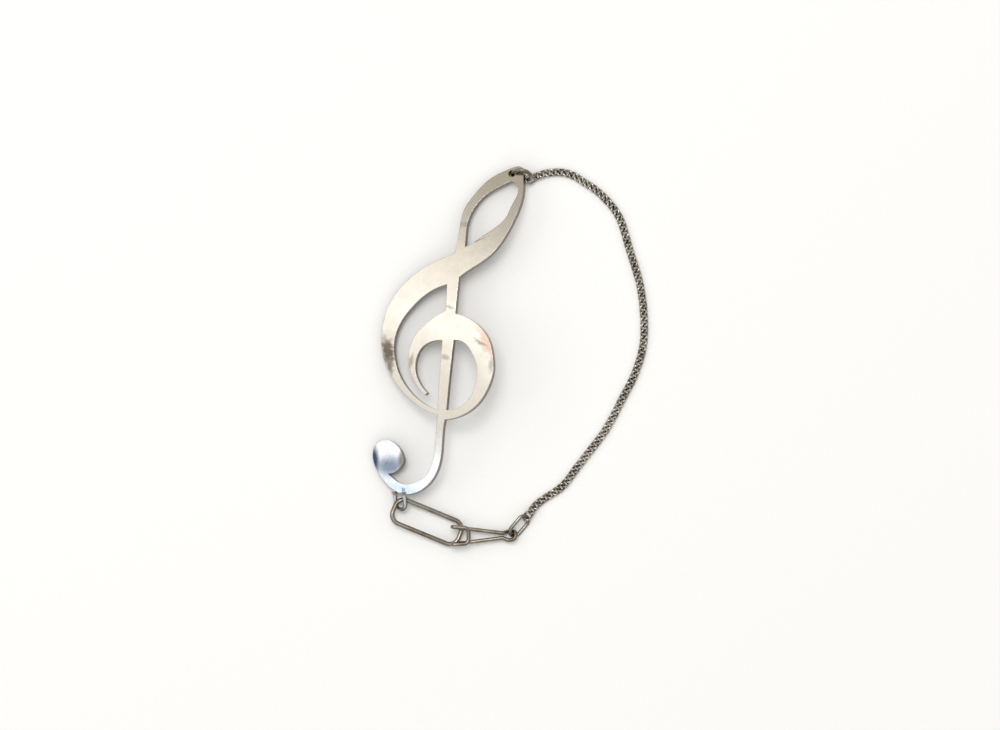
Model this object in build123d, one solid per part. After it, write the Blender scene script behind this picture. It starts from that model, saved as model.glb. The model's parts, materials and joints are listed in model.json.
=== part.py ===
from build123d import *
import math
import os

# Chain bracelet with a pierced treble-clef plate, lying clasped on a table.
# Millimetres, +Z up.  The origin is the bottom centre of the whole bracelet's box.
# The plate is drawn in its own frame: u to the right, v towards the top tip, w out of its face.

# ---- driving dimensions -------------------------------------------------------------------
clef_length = 69.3     # the plate's outline, from the top tip to the tail
sheet = 1.2            # thickness of the plate
arch_radius = 130.0    # the plate is bent round a cylinder of this radius, along its length
plate_roll = 22.0      # the plate leans to the left on the table by this many degrees
plate_yaw = -20.0      # its long axis, turned from +Y
plate_at = (-12.7, 4.9)         # the crown of the arch on the table

tip_hole_from_middle = 34.1     # along the plate, on a clef of the drawn length
tip_land = 0.85                 # share of the ring's width that the plate's tip takes, the same
tip_ring_wire = 0.75
tip_ring_slack = 0.12
tip_ring_turn = 20.0            # from u to the chain, about w
tip_ring_dip = 9.0              # the far side hangs below the plate's face
tip_ring_lean = 12.0            # the ring leans back

lug_wire = 0.8                  # staple on the end of the tail, which takes the long link
lug_length = 3.6                # from the tail's edge to the middle of its bend
lug_roll = 40.0
lug_slope = 8.0
lug_slack = 0.75                # between its legs, beside the long link's wire
lug_gap = 0.425                 # between the tail's edge and the long link's wire, past the sheet
lug_side = 1.2                  # along u from the plate's middle line, on the drawn clef
lug_grip = 1.1                  # its legs run this far into the tail

link_wire = 0.42                # curb chain, and a curb link's proportions
link_pitch = 2.905 * link_wire
link_width = 3.81 * link_wire   # between the middles of its two sides
link_bend = 1.19 * link_wire    # bend radius at the middle of the wire
clearance = 0.19 * link_wire    # between the middles of two hooked wires, past their size
link_twist = 43.0               # each end is turned this far about the chain's axis
last_link_twist = 38.0
chain_pairs = 37
chain_start_angle = 38.0        # the chain hangs on the tip ring this far below its far side
chain_start_bearing = 20.43     # where its first link points, from +X
chain_start_fall = 13.7
chain_settle = 0.5              # the rest of its drop that is left at each point of its route

end_ring_wire = 0.74
end_ring_room = 1.3 * end_ring_wire + 0.8       # clear width inside it
end_ring_reach = 1.3 * end_ring_wire + 3.0      # clear length inside it
end_ring_tilt = 38.0
end_ring_turn = 50.0            # from the hook to the chain, from +X
chain_end_rise = 8.0            # the last link climbs to the end ring

hook_wire = 0.8
hook_eye_slack = 0.2
hook_length = 11.8              # from the middle of the eye to the middle of the fold
hook_past_bar = 1.5             # the fold reaches this far past the long link's end bar
hook_turn = 0.0                 # from the bar to the eye, from +X
hook_fold_width = 3.5
hook_fold_reach = 3.2           # how far the folded end comes back
hook_fold_rise = 1.25 * hook_wire
hook_eye_tilt = 36.0            # about the way the end ring points
hook_over_link = 0.22           # gap between the folded hook and the bar that it lies on

long_link_wire = 0.95
long_link_length = 14.2         # to the middle of the wire
long_link_width = 5.0
long_link_bend = 1.9
long_link_turn = -22.5
long_link_dip = 5.5             # its far end is lower
long_link_roll = 4.0

table_gap = 0.02

# ---- sizes worked out from them -----------------------------------------------------------
drawn_length = 69.3             # the length at which clef_face draws the plate
clef_scale = clef_length / drawn_length
tip_hole_at = (0, tip_hole_from_middle * clef_scale)
tip_hole_bore = 1.36 * tip_ring_wire + 0.4 * sheet
tip_ring_radius = (tip_land * clef_scale + 1.5 * sheet + tip_ring_wire) / 2 + tip_ring_slack
tail_end = -33.2 * clef_scale
lug_width = lug_wire + long_link_wire + lug_slack
lug_drop = lug_gap + (sheet + long_link_wire) / 2
lug_at = (lug_side * clef_scale, tail_end - lug_drop)
lug_root = lug_drop + lug_grip
overlap = link_wire + clearance
link_length = link_pitch + overlap
ring_wire = max(tip_ring_wire, end_ring_wire)
end_link_length = ring_wire + 3.69 * link_wire
end_link_width = 4.76 * link_wire
end_link_bend = 1.57 * link_wire
ring_clearance = 0.4 * ring_wire - 0.13  # as clearance, where a link hangs on a ring
chain_height = 1.31 * link_wire # the middle of a link that lies on the table
end_ring_width = end_ring_room + end_ring_wire
end_ring_length = end_ring_reach + end_ring_wire
end_ring_bend = end_ring_width / 2 - 0.05
hook_eye_radius = (hook_wire + end_ring_wire) / 2 + hook_eye_slack


def loop_points(length, width, start_angle, end_angle):
    """Corners of a long ring round the x axis, with each end turned about x."""
    corners = []
    for x, angle, side in (
        (-length / 2, start_angle, 1),
        (length / 2, end_angle, 1),
        (length / 2, end_angle, -1),
        (-length / 2, start_angle, -1),
    ):
        turn = math.radians(angle)
        reach = side * width / 2
        corners.append(Vector(x, reach * math.cos(turn), reach * math.sin(turn)))
    return corners


def bent_wire(points, bend, wire):
    """A round wire along straight runs joined by bends."""
    path = FilletPolyline(*points, radius=bend)
    section = Plane(origin=path @ 0, z_dir=path % 0) * Circle(wire / 2)
    return sweep(section, path=path)


def wire_loop(corners, bend, wire):
    """A closed ring of wire through four corners, made as two halves that meet face to face."""
    a, b, c, d = corners
    first = (a + b) / 2
    second = (c + d) / 2
    half = bent_wire([first, b, c, second], bend, wire)
    other = bent_wire([second, d, a, first], bend, wire)
    return (half + other).solid()


def chain_link(length, width, bend, start_angle, end_angle):
    return wire_loop(loop_points(length, width, start_angle, end_angle), bend, link_wire)


def along(origin, direction):
    """A frame whose x axis points along the direction, with z as near up as it can be."""
    side = Vector(0, 0, 1).cross(direction)
    return Plane(origin=origin, x_dir=direction, z_dir=direction.cross(side)).location


# ---- plate --------------------------------------------------------------------------------
def drawn(points):
    """The points of a curve on the drawn clef, at the clef's own size."""
    return [(u * clef_scale, v * clef_scale) for u, v in points]


def curve(points, tangents=()):
    return Spline(*drawn(points), tangents=tangents).edge()


def straight(start, end):
    return Line(*drawn([start, end])).edge()


def clef_face():
    """The plate's outline and its three holes."""
    crown = [
        (-4.3, 15.3), (-5.5, 20.9), (-6.1, 24.2), (-5.5, 27.5), (-3.9, 31.6), (-1.1, 34.8),
        (1.1, 36.1), (2.7, 34.1), (4.2, 30.6), (4.7, 26.0), (4.3, 21.5), (2.9, 17.1),
        (0.2, 13.4), (-1.4, 11.1),
    ]
    bowl = [
        (0.7, 4.1), (3.9, 4.1), (6.9, 3.2), (9.4, 1.5), (11.3, -1.1), (12.5, -3.9),
        (12.7, -7.4), (11.9, -10.8), (9.9, -13.8), (7.8, -15.5), (6.0, -16.4),
    ]
    tail_and_bulb = [
        (6.0, -16.4), (7.0, -21.3), (7.6, -24.8), (7.1, -28.3), (5.4, -31.1), (2.6, -33.0),
        (-0.3, -33.2), (-2.4, -32.5), (-4.4, -31.2), (-6.1, -29.5), (-7.0, -27.2),
        (-6.5, -25.3), (-5.5, -24.4), (-4.1, -24.1), (-2.2, -24.6), (-0.7, -25.8),
        (0.0, -27.1), (-0.4, -28.6), (-1.3, -29.8), (-2.6, -30.5),
    ]
    tail_inside = [
        (-2.6, -30.5), (-1.0, -31.1), (0.4, -31.4), (2.3, -31.0), (4.1, -29.8),
        (5.3, -28.4), (6.0, -26.1), (5.7, -22.4), (4.9, -18.8), (4.3, -16.0),
    ]
    sweep_outside = [
        (4.3, -16.0), (1.8, -16.0), (-0.8, -15.5), (-4.7, -14.0), (-7.7, -12.0),
        (-10.0, -9.9), (-11.7, -7.4), (-12.8, -4.5), (-13.4, -0.6), (-12.7, 4.2),
        (-10.5, 8.8), (-7.5, 12.4), (-4.3, 15.3),
    ]
    outside = Wire(
        [
            curve(crown),
            straight(crown[-1], bowl[0]),
            curve(bowl),
            curve(tail_and_bulb),
            curve(tail_inside),
            curve(sweep_outside),
        ]
    )
    crown_left = [(-2.7, 17.2), (-4.0, 21.0), (-4.3, 24.8), (-2.7, 29.1), (-0.5, 31.7)]
    crown_right = [(-0.5, 31.7), (0.8, 32.8), (2.3, 32.3), (2.9, 28.0), (1.9, 23.3), (-0.6, 19.4)]
    crown_right.append((-2.7, 17.2))
    crown_hole = Wire(
        [
            curve(crown_left, [(-0.3, 1.0), (0.7, 0.75)]),
            curve(crown_right, [(0.7, 0.75), (-1.0, -1.0)]),
        ]
    )
    bowl_right = [
        (2.35, -1.0), (5.2, -0.9), (7.2, -2.3), (8.9, -4.2), (9.7, -6.5), (9.9, -8.9),
        (9.2, -11.7), (7.6, -13.5), (5.7, -14.5),
    ]
    bowl_hole = Wire(
        [curve(bowl_right), straight(bowl_right[-1], bowl_right[0])]
    )
    curl_outside = [
        (-1.4, 4.0), (-2.8, 2.5), (-4.6, -0.1), (-5.7, -2.5), (-6.0, -5.2), (-5.6, -7.4),
        (-4.3, -9.7), (-2.3, -11.7), (0.3, -13.2),
    ]
    curl_inside = [
        (0.7, -12.6), (-1.9, -11.0), (-3.3, -9.2), (-3.9, -6.4), (-3.5, -4.5), (-2.1, -2.8),
        (0.1, -1.8),
    ]
    sweep_inside = [
        (3.9, -15.0), (1.2, -14.9), (-3.0, -13.5), (-6.1, -11.3), (-8.3, -8.5),
        (-9.6, -5.4), (-9.8, -2.2), (-8.5, 2.4), (-5.9, 6.7), (-3.2, 9.0),
    ]
    curl_hole = Wire(
        [
            straight(sweep_inside[-1], curl_outside[0]),
            curve(curl_outside),
            straight(curl_outside[-1], curl_inside[0]),
            curve(curl_inside),
            straight(curl_inside[-1], sweep_inside[0]),
            curve(sweep_inside),
        ]
    )
    return Face(outside, [crown_hole, bowl_hole, curl_hole])


def make_blank():
    """The pierced and arched sheet, in its own frame."""
    depth = clef_length / 6
    across = clef_length
    prism = extrude(Pos(0, 0, -depth) * clef_face(), amount=depth + sheet, dir=(0, 0, 1))
    outer = Cylinder(arch_radius + sheet / 2, across)
    inner = Cylinder(arch_radius - sheet / 2, across)
    shell = Pos(0, 0, -arch_radius) * Rot(0, 90, 0) * (outer - inner)
    slab = Pos(0, 0, -depth / 2) * Box(across, 2 * clef_length, depth + 2 * sheet)
    return prism & (shell & slab)


plate_turn = Rot(0, 0, plate_yaw) * Rot(0, -plate_roll, 0)
blank = make_blank()
plate_height = table_gap - (plate_turn * blank).bounding_box().min.Z
plate_pose = Pos(*plate_at, plate_height) * plate_turn


def on_arch(u, v):
    """The frame on the plate's middle surface at u, v."""
    slope = math.asin(v / arch_radius)
    drop = arch_radius * (math.cos(slope) - 1)
    return plate_pose * Pos(u, v, drop) * Rot(-math.degrees(slope), 0, 0)


def make_plate():
    bore = on_arch(*tip_hole_at) * Cylinder(tip_hole_bore / 2, 4 * sheet)
    return plate_pose * blank - bore


# ---- tip ring -----------------------------------------------------------------------------
tip_ring_pose = (
    on_arch(*tip_hole_at)
    * Rot(0, 0, tip_ring_turn)
    * Rot(-tip_ring_lean, 0, 0)
    * Rot(0, tip_ring_dip, 0)
    * Pos(tip_ring_radius, 0, 0)
)


def make_tip_ring():
    return tip_ring_pose * Rot(90, 0, 0) * Torus(tip_ring_radius, tip_ring_wire / 2)


# ---- long link ----------------------------------------------------------------------------
lug_pose = Pos(*on_arch(*lug_at).position) * Rot(0, -lug_roll, 0) * Rot(lug_slope, 0, 0)
corner_cut = (1 - math.sqrt(0.5)) * long_link_bend
long_link_pose = (
    Pos(*lug_pose.position)
    * Rot(0, 0, long_link_turn)
    * Rot(0, long_link_dip, 0)
    * Rot(-long_link_roll, 0, 0)
    * Pos(long_link_length / 2 - corner_cut, -long_link_width / 2 + corner_cut, 0)
)
end_bar = (long_link_pose * Pos(long_link_length / 2, 0, 0)).position


def make_lug():
    """A staple of wire on the end of the tail."""
    leg = lug_width / 2
    bottom = -lug_length / 2
    path = [(-leg, lug_root), (-leg, bottom), (leg, bottom), (leg, lug_root)]
    return lug_pose * bent_wire(path, leg - 0.05, lug_wire)


def make_long_link():
    corners = loop_points(long_link_length, long_link_width, 0, 0)
    return long_link_pose * wire_loop(corners, long_link_bend, long_link_wire)


# ---- hook and end ring --------------------------------------------------------------------
end_ring_height = (
    end_ring_width / 2 * math.sin(math.radians(end_ring_tilt)) + end_ring_wire / 2 + table_gap
)
eye_reach = hook_length - hook_past_bar
hook_eye = Vector(
    end_bar.X + eye_reach * math.cos(math.radians(hook_turn)),
    end_bar.Y + eye_reach * math.sin(math.radians(hook_turn)),
    end_ring_height,
)
hook_height = end_bar.Z + (long_link_wire + hook_wire) / 2 + hook_over_link
hook_rise = math.degrees(math.asin((hook_height - hook_eye.Z) / eye_reach))
hook_pose = Pos(*hook_eye) * Rot(0, 0, hook_turn + 180) * Rot(0, -hook_rise, 0)
eye_slack = hook_eye_radius - (hook_wire + end_ring_wire) / 2 - clearance
end_ring_pose = (
    Pos(*hook_eye) * Rot(0, 0, end_ring_turn) * Pos(end_ring_length / 2 + eye_slack, 0, 0)
)


eye_flat = 0.55                 # shares of the eye's radius
neck_start = 1.75
fold_taper = 0.9                # width of the folded end, as a share of the fold's


def make_hook():
    """One wire: an eye, two arms that open out, and a wide end folded back over them."""
    r = hook_eye_radius
    neck = hook_wire / 2 + clearance
    side = hook_fold_width / 2
    back = hook_length - hook_fold_reach
    turn = math.radians(end_ring_turn - hook_turn - 180)
    tilt_axis = Axis((0, 0, 0), (math.cos(turn), math.sin(turn), 0))
    halves = []
    for s in (1, -1):
        eye = [(-r, 0), (-r, s * r), (eye_flat * r, s * r)]
        points = [Vector(x, y, 0).rotate(tilt_axis, -hook_eye_tilt) for x, y in eye]
        points += [
            Vector(neck_start * r, s * neck, 0),
            Vector(hook_length, s * side, 0),
            Vector(hook_length, s * side, hook_fold_rise),
            Vector(back, s * side * fold_taper, hook_fold_rise),
            Vector(back, 0, hook_fold_rise),
        ]
        knee = 0.75 * hook_wire
        fold = 0.575 * hook_wire
        bends = [0.9 * r, knee, knee, fold, fold, 1.25 * hook_wire]
        halves.append(bent_wire(points, bends, hook_wire))
    return hook_pose * (halves[0] + halves[1]).solid()


def make_end_ring():
    corners = loop_points(end_ring_length, end_ring_width, end_ring_tilt, end_ring_tilt)
    return end_ring_pose * wire_loop(corners, end_ring_bend, end_ring_wire)


# ---- chain --------------------------------------------------------------------------------
# how the chain lies: shares of the way between its two ends, and how far it bows out to the
# left of that way, in shares of the same length
route = [
    (-0.0107, 0.0278), (-0.0145, 0.0845), (-0.0059, 0.1145), (0.0132, 0.1446), (0.0366, 0.1808),
    (0.0587, 0.205), (0.0927, 0.2353), (0.1313, 0.2567), (0.17, 0.2692), (0.2266, 0.2863),
    (0.295, 0.3081), (0.3696, 0.3225), (0.4398, 0.3279), (0.4981, 0.3257), (0.5475, 0.3144),
    (0.5926, 0.2985), (0.6633, 0.2635), (0.7309, 0.23), (0.7837, 0.1963), (0.832, 0.1596),
    (0.8787, 0.1258), (0.9255, 0.089),
]


samples_per_point = 30
halvings = 26


def pointing(bearing, rise):
    """The direction that lies at a bearing from +X and a rise from the table, in degrees."""
    turn = math.radians(bearing)
    lift = math.radians(rise)
    return Vector(math.cos(turn) * math.cos(lift), math.sin(turn) * math.cos(lift), math.sin(lift))


def chain_start():
    """The middle of the first link's end bend inside the tip ring, the way the link points,
    and the way the ring's wire runs there."""
    turn = math.radians(chain_start_angle)
    across = tip_ring_radius * math.cos(turn)
    down = tip_ring_radius * math.sin(turn)
    wire = (tip_ring_pose * Pos(across, 0, -down)).position
    ahead = (tip_ring_pose * Pos(across + math.sin(turn), 0, -down + math.cos(turn))).position
    direction = pointing(chain_start_bearing, -chain_start_fall)
    inset = (tip_ring_wire + link_wire) / 2 + ring_clearance
    return wire - direction * inset, direction, (ahead - wire).normalized()


def chain_end():
    """The middle of the last link's end bend inside the end ring, and the way back from it."""
    wire = (end_ring_pose * Pos(end_ring_length / 2, 0, 0)).position
    back = pointing(end_ring_turn, -chain_end_rise)
    inset = (end_ring_wire + link_wire) / 2 + ring_clearance
    return wire - back * inset, back


def walk(spread, first, last, lead):
    """Joints one pitch apart along the route, which is spread away from the line between its
    ends.  Also the number of pitches that the whole route takes."""
    way = Vector(last.X - first.X, last.Y - first.Y, 0)
    left = Vector(-way.Y, way.X, 0) * spread
    hang = first.Z - chain_height
    lie = []
    for share, bow in route:
        hang *= chain_settle
        place = first + way * share + left * bow
        lie.append(Vector(place.X, place.Y, chain_height + hang))
    path = Spline(first, *lie, lead, last)
    samples = samples_per_point * len(route)
    trail = [path @ (i / samples) for i in range(samples + 1)]
    joints = [first]
    for start, stop in zip(trail, trail[1:]):
        run = (stop - start).length
        while (stop - joints[-1]).length >= link_pitch:
            low, high = 0.0, 1.0
            for _ in range(halvings):
                middle = (low + high) / 2
                if (start + (stop - start) * middle - joints[-1]).length < link_pitch:
                    low = middle
                else:
                    high = middle
            start = start + (stop - start) * high
            joints.append(start)
    return joints, len(joints) - 1 + (last - joints[-1]).length / link_pitch


def chain_joints():
    """The points where each link meets the next.  The chain bows out as far as its length asks."""
    bend, direction, _ = chain_start()
    first = bend + direction * (end_link_length - overlap / 2)
    bend, back = chain_end()
    last = bend + back * (end_link_length - overlap / 2)
    lead = last + back * 2 * link_pitch
    needed = 2 * chain_pairs - 2
    low, high = 0.05, 3.0
    for _ in range(halvings):
        spread = (low + high) / 2
        joints, pitches = walk(spread, first, last, lead)
        if pitches < needed:
            low = spread
        else:
            high = spread
    return joints[:needed] + [last]


def chain_links(joints):
    """Each link's solid, from the tip ring to the end ring."""
    bend, direction, wire = chain_start()
    frame = along(bend + direction * end_link_length / 2, direction)
    axes = Plane(frame)
    grip = math.degrees(math.atan2(wire.dot(axes.z_dir), wire.dot(axes.y_dir)))
    first = chain_link(end_link_length, end_link_width, end_link_bend, grip - 90, link_twist)
    plain = chain_link(link_length, link_width, link_bend, -link_twist, link_twist)
    last = chain_link(end_link_length, end_link_width, end_link_bend, -last_link_twist, 90 - end_ring_tilt)
    links = [frame * first]
    for here, after in zip(joints, joints[1:]):
        links.append(along((here + after) / 2, (after - here).normalized()) * plain)
    bend, back = chain_end()
    links.append(along(bend + back * end_link_length / 2, back * -1) * last)
    return links


def make_nodes():
    """Every sub-part by name, in the table's frame."""
    nodes = {
        "clef_plate": make_plate() + make_lug(),
        "tip_ring": make_tip_ring(),
        "end_ring": make_end_ring(),
        "hook_clasp": make_hook(),
        "long_link": make_long_link(),
    }
    links = chain_links(chain_joints())
    for i in range(chain_pairs):
        pair = [links[2 * i], links[2 * i + 1]]
        nodes[f"chain_links_{i + 1:02d}"] = Compound(children=pair)
    return nodes


def seat(nodes):
    """Moves the table's frame to the bottom centre of the bracelet's box."""
    box = Compound(children=[node.moved(Location()) for node in nodes.values()]).bounding_box()
    middle = box.center()
    return Pos(-middle.X, -middle.Y, -box.min.Z)


nodes = make_nodes()
seated = seat(nodes)
os.makedirs("parts", exist_ok=True)
for name, node in nodes.items():
    export_step(seated * node, f"parts/{name}.step")
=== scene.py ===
import json
import math

import bpy
import numpy as np
from mathutils import Matrix, Vector


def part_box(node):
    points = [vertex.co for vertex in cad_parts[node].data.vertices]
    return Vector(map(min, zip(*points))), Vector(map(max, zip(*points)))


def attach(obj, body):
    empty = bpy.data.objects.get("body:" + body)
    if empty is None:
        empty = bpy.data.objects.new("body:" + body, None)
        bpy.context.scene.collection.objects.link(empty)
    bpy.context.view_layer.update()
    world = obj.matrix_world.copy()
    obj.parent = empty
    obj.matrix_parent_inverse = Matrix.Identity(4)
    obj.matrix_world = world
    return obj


bl_info = {
    "name": "Treble clef chain bracelet",
    "version": (1, 0, 0),
    "blender": (4, 5, 0),
    "location": "3D View > Sidebar > Bracelet",
    "description": "Finishes and small details of a clasped silver chain bracelet",
    "category": "Add Mesh",
}

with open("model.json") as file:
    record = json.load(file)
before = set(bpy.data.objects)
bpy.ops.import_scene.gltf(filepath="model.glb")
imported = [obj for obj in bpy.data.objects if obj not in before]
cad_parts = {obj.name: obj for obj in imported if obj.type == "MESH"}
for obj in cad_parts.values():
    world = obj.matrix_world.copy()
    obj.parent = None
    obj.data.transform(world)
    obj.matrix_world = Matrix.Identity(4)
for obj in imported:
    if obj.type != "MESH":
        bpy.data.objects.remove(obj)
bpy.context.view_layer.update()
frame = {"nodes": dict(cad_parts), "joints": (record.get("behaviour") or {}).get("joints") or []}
NODES = frame["nodes"]
JOINTS = {joint["name"]: joint for joint in frame["joints"]}
PLATE_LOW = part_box("clef_plate")[0]
MM = 0.001

# the clef's own long axis lies this far round from +Y on the table
CLEF_YAW = math.radians(-20)
# its middle, from the lowest corner of its box
CLEF_MIDDLE = PLATE_LOW + Vector((14.70, 35.77, 0)) * MM
# the way that its face points there
FACE_WAY = (-0.352, 0.128, 0.927)
# how the staple on the tail leans, as the plate does there
STAPLE_ROLL = math.radians(40)
STAPLE_SLOPE = math.radians(8)
# where each collar of solder starts, along the leg from the long link's pivot
SOLDER_START = 0.95 * MM

# marks on the clef, in its own millimetres:
# middle, half length and half width, turn in degrees, depth
COPPER = ((8.7, 0.7), (4.2, 1.2), -43, 0.45)
SMUDGES = (
    ((7.2, 0.3), (1.7, 0.5), -12, 0.6),
    ((10.7, -2.9), (0.7, 1.9), 12, 0.45),
    ((-9.7, -7.6), (3.4, 1.5), -59, 0.95),
    ((-8.1, -10.5), (1.7, 0.7), -55, 0.7),
    ((-1.0, 5.0), (1.0, 0.45), 0, 0.45),
    ((1.6, -4.7), (0.9, 0.6), 0, 0.45),
    ((-4.6, -7.9), (0.5, 1.9), 6, 0.5),
    ((-4.0, 21.4), (1.4, 0.6), 10, 0.25),
)


def linear(colour):
    """The linear colour of an sRGB hex value."""
    values = [int(colour[i:i + 2], 16) / 255 for i in (0, 2, 4)]
    return [v / 12.92 if v <= 0.04045 else ((v + 0.055) / 1.055) ** 2.4 for v in values] + [1.0]


# ---- sizes and colours that a user would change -------------------------------------------
class BraceletSizes(bpy.types.PropertyGroup):
    """Sizes of the small details that are added round the fixed parts."""

    edge_round: bpy.props.FloatProperty(
        name="Edge rounding", description="Width of the worn edge round the clef plate",
        default=0.13 * MM, min=0.0, unit="LENGTH", precision=5)
    staple_wire: bpy.props.FloatProperty(
        name="Staple wire", description="Thickness of the staple's wire on the tail",
        default=0.8 * MM, min=0.0, unit="LENGTH", precision=5)
    staple_width: bpy.props.FloatProperty(
        name="Staple width", description="Between the middles of the staple's two legs",
        default=2.5 * MM, min=0.0, unit="LENGTH", precision=5)
    solder_flare: bpy.props.FloatProperty(
        name="Solder flare", description="How far the solder spreads from the staple's wire",
        default=0.34 * MM, min=0.0, unit="LENGTH", precision=5)
    solder_length: bpy.props.FloatProperty(
        name="Solder length", description="How far the solder climbs along each leg",
        default=0.75 * MM, min=0.0, unit="LENGTH", precision=5)


class BraceletFinish(bpy.types.PropertyGroup):
    """Colours of the silver, in its polished, tarnished and aged states, with the painted
    reflections on the clef.
    """

    # painted reflection: the polished colour and the upper loop's colour are stops of the ramp
    # that paints the clef's reflection, bright in the middle and darker and warmer on the upper
    # loop
    polished: bpy.props.FloatVectorProperty(
        name="Polished silver", description="The clef's bright middle",
        subtype="COLOR", size=4, min=0.0, max=1.0, default=linear("E9E5DD"))
    upper_loop_reflection: bpy.props.FloatVectorProperty(
        name="Upper loop", description="The warmer film on the upper loop",
        subtype="COLOR", size=4, min=0.0, max=1.0, default=linear("C6BBA8"))
    rubbed: bpy.props.FloatVectorProperty(
        name="Rubbed patches", description="The duller patches that wear leaves",
        subtype="COLOR", size=4, min=0.0, max=1.0, default=linear("B9AF9C"))
    wall_film: bpy.props.FloatVectorProperty(
        name="Wall film", description="The brown film on the sawn walls",
        subtype="COLOR", size=4, min=0.0, max=1.0, default=linear("5A5045"))
    tarnish: bpy.props.FloatVectorProperty(
        name="Copper tarnish", description="The orange tarnish on the bowl",
        subtype="COLOR", size=4, min=0.0, max=1.0, default=linear("C98A5E"))
    smudge: bpy.props.FloatVectorProperty(
        name="Smudge", description="The dark sulphide marks",
        subtype="COLOR", size=4, min=0.0, max=1.0, default=linear("5E574E"))
    # painted reflection: the bulb and tail colours below are painted reflections on the silver
    bulb_reflection_grey: bpy.props.FloatVectorProperty(
        name="Bulb, lower half", description="The blue-grey of the bulb",
        subtype="COLOR", size=4, min=0.0, max=1.0, default=linear("6F7988"))
    bulb_reflection_navy: bpy.props.FloatVectorProperty(
        name="Bulb, left rim", description="The dark blue of the bulb's left rim",
        subtype="COLOR", size=4, min=0.0, max=1.0, default=linear("26354F"))
    bulb_reflection_brown: bpy.props.FloatVectorProperty(
        name="Bulb, right rim", description="The brown of the bulb's right rim",
        subtype="COLOR", size=4, min=0.0, max=1.0, default=linear("5F4A3E"))
    tail_reflection_blue: bpy.props.FloatVectorProperty(
        name="Tail", description="The pale blue of the tail under the bulb",
        subtype="COLOR", size=4, min=0.0, max=1.0, default=linear("A3C0DC"))
    aged: bpy.props.FloatVectorProperty(
        name="Aged silver", description="The rubbed, raised side of old wire",
        subtype="COLOR", size=4, min=0.0, max=1.0, default=linear("A39C91"))
    chain: bpy.props.FloatVectorProperty(
        name="Chain silver", description="The raised side of the chain",
        subtype="COLOR", size=4, min=0.0, max=1.0, default=linear("D2CCBF"))
    wire_film: bpy.props.FloatVectorProperty(
        name="Wire film", description="The thin film in patches on old wire",
        subtype="COLOR", size=4, min=0.0, max=1.0, default=linear("716756"))
    oxide: bpy.props.FloatVectorProperty(
        name="Oxide", description="The brown-black film in the recesses",
        subtype="COLOR", size=4, min=0.0, max=1.0, default=linear("3A332A"))
    solder: bpy.props.FloatVectorProperty(
        name="Solder", description="The paler silver of the solder",
        subtype="COLOR", size=4, min=0.0, max=1.0, default=linear("CFCBC2"))


class BraceletStage(bpy.types.PropertyGroup):
    """The table, the soft light and the camera."""

    floor: bpy.props.FloatVectorProperty(
        name="Table", description="The table top",
        subtype="COLOR", size=4, min=0.0, max=1.0, default=linear("FBFBFA"))
    fibre: bpy.props.FloatVectorProperty(
        name="Table fibre", description="The fibres of the card on the table",
        subtype="COLOR", size=4, min=0.0, max=1.0, default=linear("F7F7F6"))
    view_width: bpy.props.FloatProperty(
        name="View width", description="Width of the table that the camera takes in",
        default=200 * MM, unit="LENGTH", precision=4)
    camera_height: bpy.props.FloatProperty(
        name="Camera height", description="Height of the camera over the table",
        default=1.0, unit="LENGTH")
    key_energy: bpy.props.FloatProperty(
        name="Key light", description="Power of the large soft light", default=5.6,
        unit="POWER")


# ---- small tools ---------------------------------------------------------------------------
def node(tree, kind, settings=None, **links):
    """Adds a node of that kind, sets its properties, and sets or links its inputs by name."""
    made = tree.nodes.new(kind)
    for name, value in (settings or {}).items():
        setattr(made, name, value)
    for name, value in links.items():
        key = int(name[1:]) if name[0] == "i" and name[1:].isdigit() else name.replace("_", " ")
        if isinstance(value, bpy.types.NodeSocket):
            tree.links.new(value, made.inputs[key])
        else:
            made.inputs[key].default_value = value
    return made


def blank_material(name):
    """A metal with the default IOR, its tree and its shader."""
    made = bpy.data.materials.new(name)
    made.use_nodes = True
    tree = made.node_tree
    shader = tree.nodes["Principled BSDF"]
    shader.inputs["Metallic"].default_value = 1.0
    return made, tree, shader


def mix(tree, share, first, second):
    """Colour that goes from the first to the second as the share goes from 0 to 1."""
    made = node(tree, "ShaderNodeMix", {"data_type": "RGBA"}, i0=share)
    for key, value in ((6, first), (7, second)):
        if isinstance(value, bpy.types.NodeSocket):
            tree.links.new(value, made.inputs[key])
        else:
            made.inputs[key].default_value = value
    return made.outputs[2]


def clef_coordinates(tree):
    """Millimetres on the clef: x across it, y along it to its top tip."""
    place = node(tree, "ShaderNodeTexCoord").outputs["Object"]
    turned = node(
        tree, "ShaderNodeMapping", {"vector_type": "TEXTURE"}, Vector=place,
        Location=CLEF_MIDDLE, Rotation=(0, 0, CLEF_YAW), Scale=(MM, MM, MM))
    return turned.outputs["Vector"]


def tarnish_and_reflection_spot(tree, place, middle, size, turn, ragged=0.35, grain=0.9):
    """A share that is 1 inside an ellipse on the clef and falls off over a ragged edge, for
    tarnish marks and painted reflections alike.
    """
    noise = node(tree, "ShaderNodeTexNoise", Vector=place, Scale=grain, Detail=4.0)
    shake = node(
        tree, "ShaderNodeVectorMath", {"operation": "MULTIPLY_ADD"},
        i0=noise.outputs["Color"], i1=(2 * ragged * size[0],) * 3, i2=place)
    local = node(
        tree, "ShaderNodeMapping", {"vector_type": "TEXTURE"}, Vector=shake.outputs[0],
        Location=(middle[0] + ragged * size[0], middle[1] + ragged * size[0], 0),
        Rotation=(0, 0, math.radians(turn)), Scale=(size[0], size[1], 1000))
    reach = node(
        tree, "ShaderNodeVectorMath", {"operation": "LENGTH"}, i0=local.outputs["Vector"])
    fade = node(
        tree, "ShaderNodeMapRange", {"interpolation_type": "SMOOTHSTEP"},
        Value=reach.outputs["Value"], From_Min=1.3, From_Max=0.25)
    return fade.outputs["Result"]


def times(tree, first, second):
    """The product of two shares."""
    return node(tree, "ShaderNodeMath", {"operation": "MULTIPLY"}, i0=first, i1=second).outputs[0]


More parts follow.
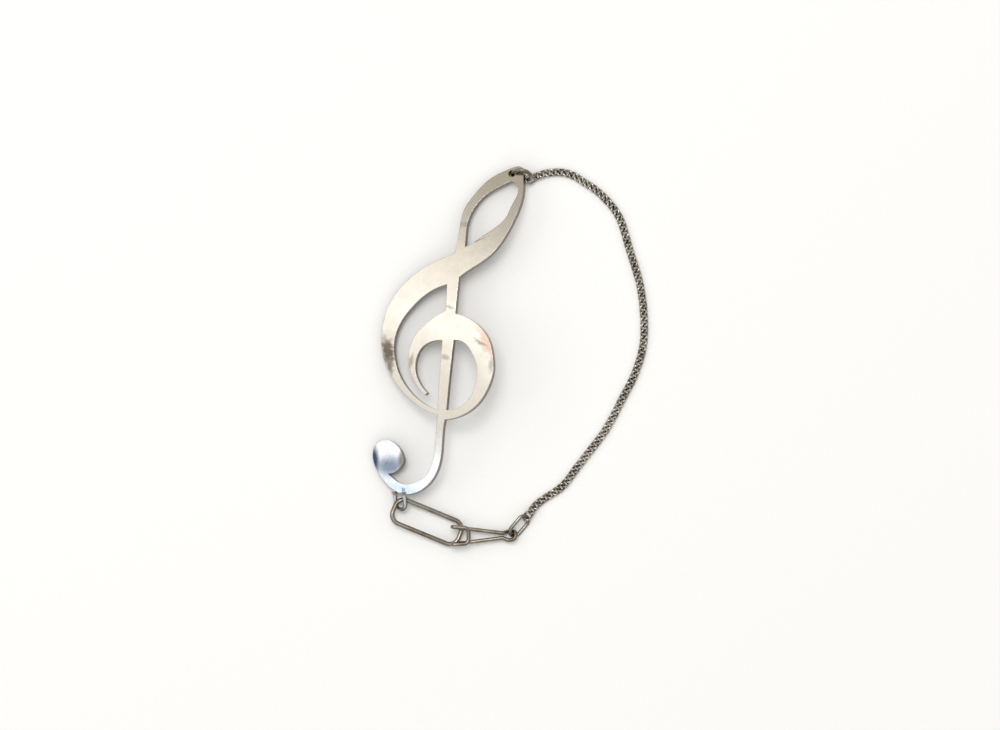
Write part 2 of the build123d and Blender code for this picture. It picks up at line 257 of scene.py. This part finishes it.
def grid_piece(name, points, closed_u, closed_v, material, body):
    """A piece from a grid of points, rows by columns, riding on a body.

    Each face joins the four points (i, j), (i+1, j), (i+1, j+1) and (i, j+1), and a closed
    direction also joins its last row or column to its first."""
    rows, columns = points.shape[:2]
    i = np.arange(rows if closed_u else rows - 1)
    j = np.arange(columns if closed_v else columns - 1)
    i, j = np.meshgrid(i, j, indexing="ij")
    after_i = (i + 1) % rows
    after_j = (j + 1) % columns
    corners = [
        i * columns + j,
        after_i * columns + j,
        after_i * columns + after_j,
        i * columns + after_j,
    ]
    faces = np.stack(corners, axis=-1).reshape(-1, 4)
    mesh = bpy.data.meshes.new(name)
    mesh.from_pydata(points.reshape(-1, 3), [], faces)
    mesh.polygons.foreach_set("use_smooth", np.ones(len(faces), bool))
    mesh.update()
    made = bpy.data.objects.new(name, mesh)
    bpy.context.scene.collection.objects.link(made)
    mesh.materials.append(material)
    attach(made, body)
    return made


def give(material, *names):
    """Puts a material on every slot of the named CAD nodes."""
    for name in names:
        for place in NODES[name].material_slots:
            place.material = material


# ---- materials -----------------------------------------------------------------------------
def polished_silver(finish, sizes):
    """Sterling silver sheet, pierced, polished and then worn.

    It reflects softly, is warm where a thin film has grown and where the upper loop carries a
    warm painted reflection, has painted reflections on its bulb and tail, and carries fine
    scratches."""
    made, tree, shader = blank_material("Worn sterling silver sheet")
    place = clef_coordinates(tree)
    along = node(tree, "ShaderNodeSeparateXYZ", Vector=place).outputs["Y"]
    # painted reflection: the colour drifts along the clef, pale and cool on the tail, brightest
    # in the middle, darker and warmer towards the top tip
    cloud = node(tree, "ShaderNodeTexNoise", Vector=place, Scale=0.16, Detail=3.0, Roughness=0.55)
    drift = node(
        tree, "ShaderNodeMath", {"operation": "MULTIPLY_ADD"}, i0=cloud.outputs["Fac"], i1=12.0,
        i2=along)
    height = node(
        tree, "ShaderNodeMapRange", Value=drift.outputs[0], From_Min=-32.0, From_Max=42.0)
    # painted reflection: this ramp paints the reflection's brightness and tint along the clef
    film = node(tree, "ShaderNodeValToRGB", Fac=height.outputs["Result"])
    # the painted reflection's stops, from the tail's cool, pale reflection to the upper loop's
    # darker, warm one
    painted_reflection_stops = (
        (0.0, linear("CBD0D6")), (0.17, linear("DADCDD")), (0.27, linear("C6C2BA")),
        (0.42, linear("CCC8BF")), (0.52, finish.polished), (0.60, linear("E0DCD4")),
        (0.72, linear("D3CDC2")), (0.86, linear("CDC6B9")), (1.0, finish.upper_loop_reflection),
    )
    ramp = film.color_ramp.elements
    for k, (position, tone) in enumerate(painted_reflection_stops):
        stop = ramp[k] if k < 2 else ramp.new(position)
        stop.position = position
        stop.color = tone
    colour = film.outputs["Color"]
    # rubbed patches a few millimetres across
    rub = node(tree, "ShaderNodeTexNoise", Vector=place, Scale=0.45, Detail=5.0, Roughness=0.6)
    rubbed = node(
        tree, "ShaderNodeMapRange", Value=rub.outputs["Fac"], From_Min=0.35, From_Max=0.75,
        To_Max=0.22)
    colour = mix(tree, rubbed.outputs["Result"], colour, finish.rubbed)
    # copper tarnish on the bowl's shoulder, with a sulphide smudge beside it
    middle, size, turn, depth = COPPER
    spot = tarnish_and_reflection_spot(tree, place, middle, size, turn)
    colour = mix(tree, times(tree, spot, depth), colour, finish.tarnish)
    for middle, size, turn, depth in SMUDGES:
        spot = tarnish_and_reflection_spot(tree, place, middle, size, turn, 0.5)
        colour = mix(tree, times(tree, spot, depth), colour, finish.smudge)
    # painted reflection: the bulb's lower half and its left rim carry a blue-grey painted
    # reflection, its right rim a brown one, and the tail a pale blue one
    for middle, size, turn, depth, tone in (
        ((-1.5, -29.0), (3.3, 2.3), 20, 0.95, finish.bulb_reflection_grey),
        ((-4.8, -28.7), (1.0, 3.2), 24, 0.97, finish.bulb_reflection_navy),
        ((0.3, -26.8), (0.8, 2.2), 14, 0.75, finish.bulb_reflection_brown),
        ((2.6, -32.3), (3.4, 0.8), 4, 0.5, finish.tail_reflection_blue),
    ):
        spot = tarnish_and_reflection_spot(tree, place, middle, size, turn, 0.1)
        colour = mix(tree, times(tree, spot, depth), colour, tone)
    # polishing doesn't reach the sawn walls, which keep a brown film
    facing = node(
        tree, "ShaderNodeVectorMath", {"operation": "DOT_PRODUCT"},
        i0=node(tree, "ShaderNodeNewGeometry").outputs["True Normal"], i1=FACE_WAY)
    wall = node(
        tree, "ShaderNodeMapRange", Value=facing.outputs["Value"], From_Min=0.75, From_Max=0.45,
        To_Max=0.85)
    colour = mix(tree, wall.outputs["Result"], colour, finish.wall_film)
    tree.links.new(colour, shader.inputs["Base Color"])
    # hand-polishing scratches, drawn 0.15 mm apart, which is coarser than they are, to show
    streak = node(
        tree, "ShaderNodeMapping", Vector=place, Rotation=(0, 0, 0.9), Scale=(6.5, 0.5, 1.0))
    scratch = node(
        tree, "ShaderNodeTexNoise", Vector=streak.outputs["Vector"], Scale=1.0, Detail=6.0,
        Roughness=0.7)
    rough = node(
        tree, "ShaderNodeMapRange", Value=scratch.outputs["Fac"], From_Min=0.3, From_Max=0.7,
        To_Min=0.17, To_Max=0.30)
    tree.links.new(rough.outputs["Result"], shader.inputs["Roughness"])
    dents = node(tree, "ShaderNodeTexNoise", Vector=place, Scale=0.5, Detail=2.0)
    # the sheared edges are rubbed round in wear
    edge = node(tree, "ShaderNodeBevel", {"samples": 6}, Radius=sizes.edge_round)
    swell = node(
        tree, "ShaderNodeBump", Strength=0.35, Distance=0.06 * MM, Height=dents.outputs["Fac"],
        Normal=edge.outputs["Normal"])
    lines = node(
        tree, "ShaderNodeBump", Strength=0.12, Distance=0.01 * MM,
        Height=scratch.outputs["Fac"], Normal=swell.outputs["Normal"])
    tree.links.new(lines.outputs["Normal"], shader.inputs["Normal"])
    return made


def aged_wire(finish, name, bright, rough, grain_mm, recess_mm):
    """Drawn silver wire, aged in wear.

    The raised side is rubbed to a soft shine, and a brown-black film stays in the recesses."""
    made, tree, shader = blank_material(name)
    place = node(tree, "ShaderNodeTexCoord").outputs["Object"]
    scaled = node(
        tree, "ShaderNodeMapping", Vector=place, Scale=(1 / grain_mm / MM,) * 3).outputs["Vector"]
    cloud = node(tree, "ShaderNodeTexNoise", Vector=scaled, Scale=0.35, Detail=4.0, Roughness=0.6)
    grain = node(tree, "ShaderNodeTexNoise", Vector=scaled, Scale=2.5, Detail=4.0, Roughness=0.65)
    patch = node(
        tree, "ShaderNodeMapRange", Value=cloud.outputs["Fac"], From_Min=0.38, From_Max=0.68)
    colour = mix(tree, patch.outputs["Result"], bright, finish.wire_film)
    # the film is thickest where another wire is near
    shelter = node(
        tree, "ShaderNodeAmbientOcclusion", {"samples": 6}, Distance=recess_mm * MM)
    film = node(
        tree, "ShaderNodeMapRange", Value=shelter.outputs["AO"], From_Min=0.75, From_Max=0.15,
        To_Max=0.9)
    colour = mix(tree, film.outputs["Result"], colour, finish.oxide)
    pits = node(
        tree, "ShaderNodeMapRange", Value=grain.outputs["Fac"], From_Min=0.62, From_Max=0.75,
        To_Max=0.5)
    colour = mix(tree, pits.outputs["Result"], colour, finish.oxide)
    tree.links.new(colour, shader.inputs["Base Color"])
    worn = node(
        tree, "ShaderNodeMapRange", Value=cloud.outputs["Fac"], From_Min=0.3, From_Max=0.7,
        To_Min=rough, To_Max=rough + 0.14)
    tree.links.new(worn.outputs["Result"], shader.inputs["Roughness"])
    bump = node(
        tree, "ShaderNodeBump", Strength=0.4, Distance=0.02 * MM, Height=grain.outputs["Fac"])
    tree.links.new(bump.outputs["Normal"], shader.inputs["Normal"])
    return made


def hard_solder(finish):
    """Silver solder: paler and duller than the wire, with the grainy skin of cooled metal."""
    made, tree, shader = blank_material("Silver solder")
    place = node(tree, "ShaderNodeTexCoord").outputs["Object"]
    skin = node(tree, "ShaderNodeTexNoise", Vector=place, Scale=4.0 / MM, Detail=5.0)
    colour = mix(tree, skin.outputs["Fac"], finish.solder, finish.aged)
    tree.links.new(colour, shader.inputs["Base Color"])
    shader.inputs["Roughness"].default_value = 0.34
    bump = node(
        tree, "ShaderNodeBump", Strength=0.5, Distance=0.03 * MM, Height=skin.outputs["Fac"])
    tree.links.new(bump.outputs["Normal"], shader.inputs["Normal"])
    return made


def paper_table(stage):
    """Smooth matt card under soft light."""
    made = bpy.data.materials.new("Matt white card")
    made.use_nodes = True
    tree = made.node_tree
    shader = tree.nodes["Principled BSDF"]
    place = node(tree, "ShaderNodeTexCoord").outputs["Object"]
    fibre = node(tree, "ShaderNodeTexNoise", Vector=place, Scale=2.0 / MM, Detail=2.0)
    tint = mix(tree, fibre.outputs["Fac"], stage.floor, stage.fibre)
    tree.links.new(tint, shader.inputs["Base Color"])
    shader.inputs["Roughness"].default_value = 0.9
    shader.inputs["Specular IOR Level"].default_value = 0.1
    return made


# ---- operators -----------------------------------------------------------------------------
class BRACELET_OT_clef_plate(bpy.types.Operator):
    """Gives the clef plate its worn silver and its rubbed edges"""

    bl_idname = "bracelet.clef_plate"
    bl_label = "Clef plate"

    def execute(self, context):
        scene = context.scene
        give(polished_silver(scene.bracelet_finish, scene.bracelet_sizes), "clef_plate")
        return {"FINISHED"}


class BRACELET_OT_rings(bpy.types.Operator):
    """Gives the tip ring and the end ring their aged silver"""

    bl_idname = "bracelet.rings"
    bl_label = "Rings"

    def execute(self, context):
        finish = context.scene.bracelet_finish
        give(aged_wire(finish, "Aged silver ring wire", finish.aged, 0.24, 0.8, 0.9),
             "tip_ring", "end_ring")
        return {"FINISHED"}


class BRACELET_OT_clasp(bpy.types.Operator):
    """Gives the hook and the long link their aged silver"""

    bl_idname = "bracelet.clasp"
    bl_label = "Hook and long link"

    def execute(self, context):
        finish = context.scene.bracelet_finish
        give(aged_wire(finish, "Aged silver clasp wire", finish.aged, 0.22, 1.2, 1.0),
             "hook_clasp", "long_link")
        return {"FINISHED"}


class BRACELET_OT_chain(bpy.types.Operator):
    """Gives the curb chain its darkened silver"""

    bl_idname = "bracelet.chain"
    bl_label = "Curb chain"

    def execute(self, context):
        finish = context.scene.bracelet_finish
        chain = [name for name in NODES if name.startswith("chain_links_")]
        give(aged_wire(finish, "Oxidised silver curb chain", finish.chain, 0.2, 0.5, 0.5), *chain)
        return {"FINISHED"}


def staple_frame():
    """The staple's own directions: across its legs, along them to the tail, and off its face."""
    turn = Matrix.Rotation(-STAPLE_ROLL, 3, "Y") @ Matrix.Rotation(STAPLE_SLOPE, 3, "X")
    return np.array(turn)


class BRACELET_OT_staple_solder(bpy.types.Operator):
    """Adds the solder that holds the staple's two legs to the tail"""

    bl_idname = "bracelet.staple_solder"
    bl_label = "Staple solder"

    def execute(self, context):
        sizes = context.scene.bracelet_sizes
        material = hard_solder(context.scene.bracelet_finish)
        turn = staple_frame()
        pivot = np.array(JOINTS["long_link_swing"]["pos_m"])
        for side, word in ((-1, "left"), (1, "right")):
            points = self.collar(sizes)
            points[..., 0] += side * sizes.staple_width / 2
            placed = points @ turn.T + pivot
            grid_piece(f"staple_solder_{word}", placed, False, True, material,
                       "clef_plate")
        return {"FINISHED"}

    @staticmethod
    def collar(sizes):
        """A flared collar round a leg that runs along y.

        Its radius is the wire's, plus the flare times the square of the share of the way from
        the thin end to the tail, and it swells a little with the cosine of twice the turn."""
        share = np.linspace(0, 1, 14)[:, None]
        turn = np.linspace(0, 2 * np.pi, 40, endpoint=False)[None, :]
        radius = sizes.staple_wire / 2 * 1.01 + sizes.solder_flare * share ** 2
        radius = radius * (1 + 0.05 * np.cos(2 * turn))
        along = SOLDER_START + sizes.solder_length * share + 0 * turn
        return np.stack([radius * np.cos(turn), along, radius * np.sin(turn)], axis=-1)


class BRACELET_OT_stage(bpy.types.Operator):
    """Lays the table, hangs the soft lights and sets the camera"""

    bl_idname = "bracelet.stage"
    bl_label = "Stage"

    def execute(self, context):
        stage = context.scene.bracelet_stage
        self.table(stage)
        self.lights(stage)
        self.camera(context, stage)
        context.scene.view_settings.view_transform = "Standard"
        return {"FINISHED"}

    @staticmethod
    def table(stage):
        """A flat sheet, two metres across, just under the bracelet.

        Its points are a square grid at one height."""
        count = 9
        across = np.linspace(-1, 1, count)
        x, y = np.meshgrid(across, across, indexing="ij")
        points = np.stack([x, y, 0 * x - 0.01 * MM], axis=-1)
        i, j = np.meshgrid(np.arange(count - 1), np.arange(count - 1), indexing="ij")
        corner = (i * count + j).ravel()
        faces = np.stack([corner, corner + count, corner + count + 1, corner + 1], axis=-1)
        mesh = bpy.data.meshes.new("table")
        mesh.from_pydata(points.reshape(-1, 3), [], faces)
        mesh.update()
        table = bpy.data.objects.new("table", mesh)
        bpy.context.scene.collection.objects.link(table)
        mesh.materials.append(paper_table(stage))

    @staticmethod
    def lights(stage):
        """Soft boxes and an even sky that darkens towards the horizon."""
        for name, place, size, power, tone in (
            ("key", (-0.12, 0.32, 1.15), 0.50, stage.key_energy, "FFFEFC"),
            ("fill", (-0.85, 0.31, 0.93), 0.80, 1.45, "FFFAF3"),
            ("window", (-1.00, -0.27, 0.79), 0.34, 0.5, "EEF5FF"),
        ):
            data = bpy.data.lights.new(name, "AREA")
            data.shape = "SQUARE"
            data.size = size
            data.energy = power
            data.color = linear(tone)[:3]
            light = bpy.data.objects.new(name, data)
            light.location = place
            light.rotation_euler = (-Vector(place)).to_track_quat("-Z", "Y").to_euler()
            bpy.context.scene.collection.objects.link(light)
        world = bpy.data.worlds.new("studio")
        world.use_nodes = True
        bpy.context.scene.world = world
        tree = world.node_tree
        way = node(tree, "ShaderNodeTexCoord").outputs["Generated"]
        height = node(tree, "ShaderNodeSeparateXYZ", Vector=way).outputs["Z"]
        sky = node(tree, "ShaderNodeValToRGB", Fac=height)
        ramp = sky.color_ramp.elements
        ramp[0].position, ramp[0].color = 0.0, (0.10, 0.09, 0.08, 1)
        ramp[1].position, ramp[1].color = 0.50, (0.72, 0.71, 0.695, 1)
        low = ramp.new(0.24)
        low.color = (0.14, 0.13, 0.12, 1)
        tree.links.new(sky.outputs["Color"], tree.nodes["Background"].inputs["Color"])
        tree.nodes["Background"].inputs["Strength"].default_value = 1.0

    @staticmethod
    def camera(context, stage):
        """Straight over the bracelet, a little to the left of and below its middle."""
        data = bpy.data.cameras.new("camera")
        data.sensor_width = 36.0
        data.lens = data.sensor_width * stage.camera_height / stage.view_width
        camera = bpy.data.objects.new("camera", data)
        camera.location = (-2.1 * MM, -1.7 * MM, stage.camera_height)
        context.scene.collection.objects.link(camera)
        context.scene.camera = camera


class BRACELET_PT_sidebar(bpy.types.Panel):
    """Sizes, colours and pieces of the bracelet"""

    bl_idname = "BRACELET_PT_sidebar"
    bl_label = "Bracelet"
    bl_space_type = "VIEW_3D"
    bl_region_type = "UI"
    bl_category = "Bracelet"

    def draw(self, context):
        column = self.layout.column()
        for group in (
            context.scene.bracelet_sizes,
            context.scene.bracelet_finish,
            context.scene.bracelet_stage,
        ):
            for name in group.bl_rna.properties.keys():
                if name not in ("rna_type", "name"):
                    column.prop(group, name)
        for operator in OPERATORS:
            column.operator(operator.bl_idname)


GROUPS = (BraceletSizes, BraceletFinish, BraceletStage)
OPERATORS = (
    BRACELET_OT_stage,
    BRACELET_OT_clef_plate,
    BRACELET_OT_rings,
    BRACELET_OT_clasp,
    BRACELET_OT_chain,
    BRACELET_OT_staple_solder,
)
CLASSES = GROUPS + OPERATORS + (BRACELET_PT_sidebar,)


def register():
    """Registers every class and hangs the three groups on the scene."""
    for made in CLASSES:
        bpy.utils.register_class(made)
    bpy.types.Scene.bracelet_sizes = bpy.props.PointerProperty(type=BraceletSizes)
    bpy.types.Scene.bracelet_finish = bpy.props.PointerProperty(type=BraceletFinish)
    bpy.types.Scene.bracelet_stage = bpy.props.PointerProperty(type=BraceletStage)


def unregister():
    """Undoes what register does, in the opposite order."""
    del bpy.types.Scene.bracelet_stage
    del bpy.types.Scene.bracelet_finish
    del bpy.types.Scene.bracelet_sizes
    for made in reversed(CLASSES):
        bpy.utils.unregister_class(made)


def main():
    """Builds everything in order."""
    register()
    bpy.ops.bracelet.stage()
    bpy.ops.bracelet.clef_plate()
    bpy.ops.bracelet.rings()
    bpy.ops.bracelet.clasp()
    bpy.ops.bracelet.chain()
    bpy.ops.bracelet.staple_solder()


if __name__ == "__main__":
    main()
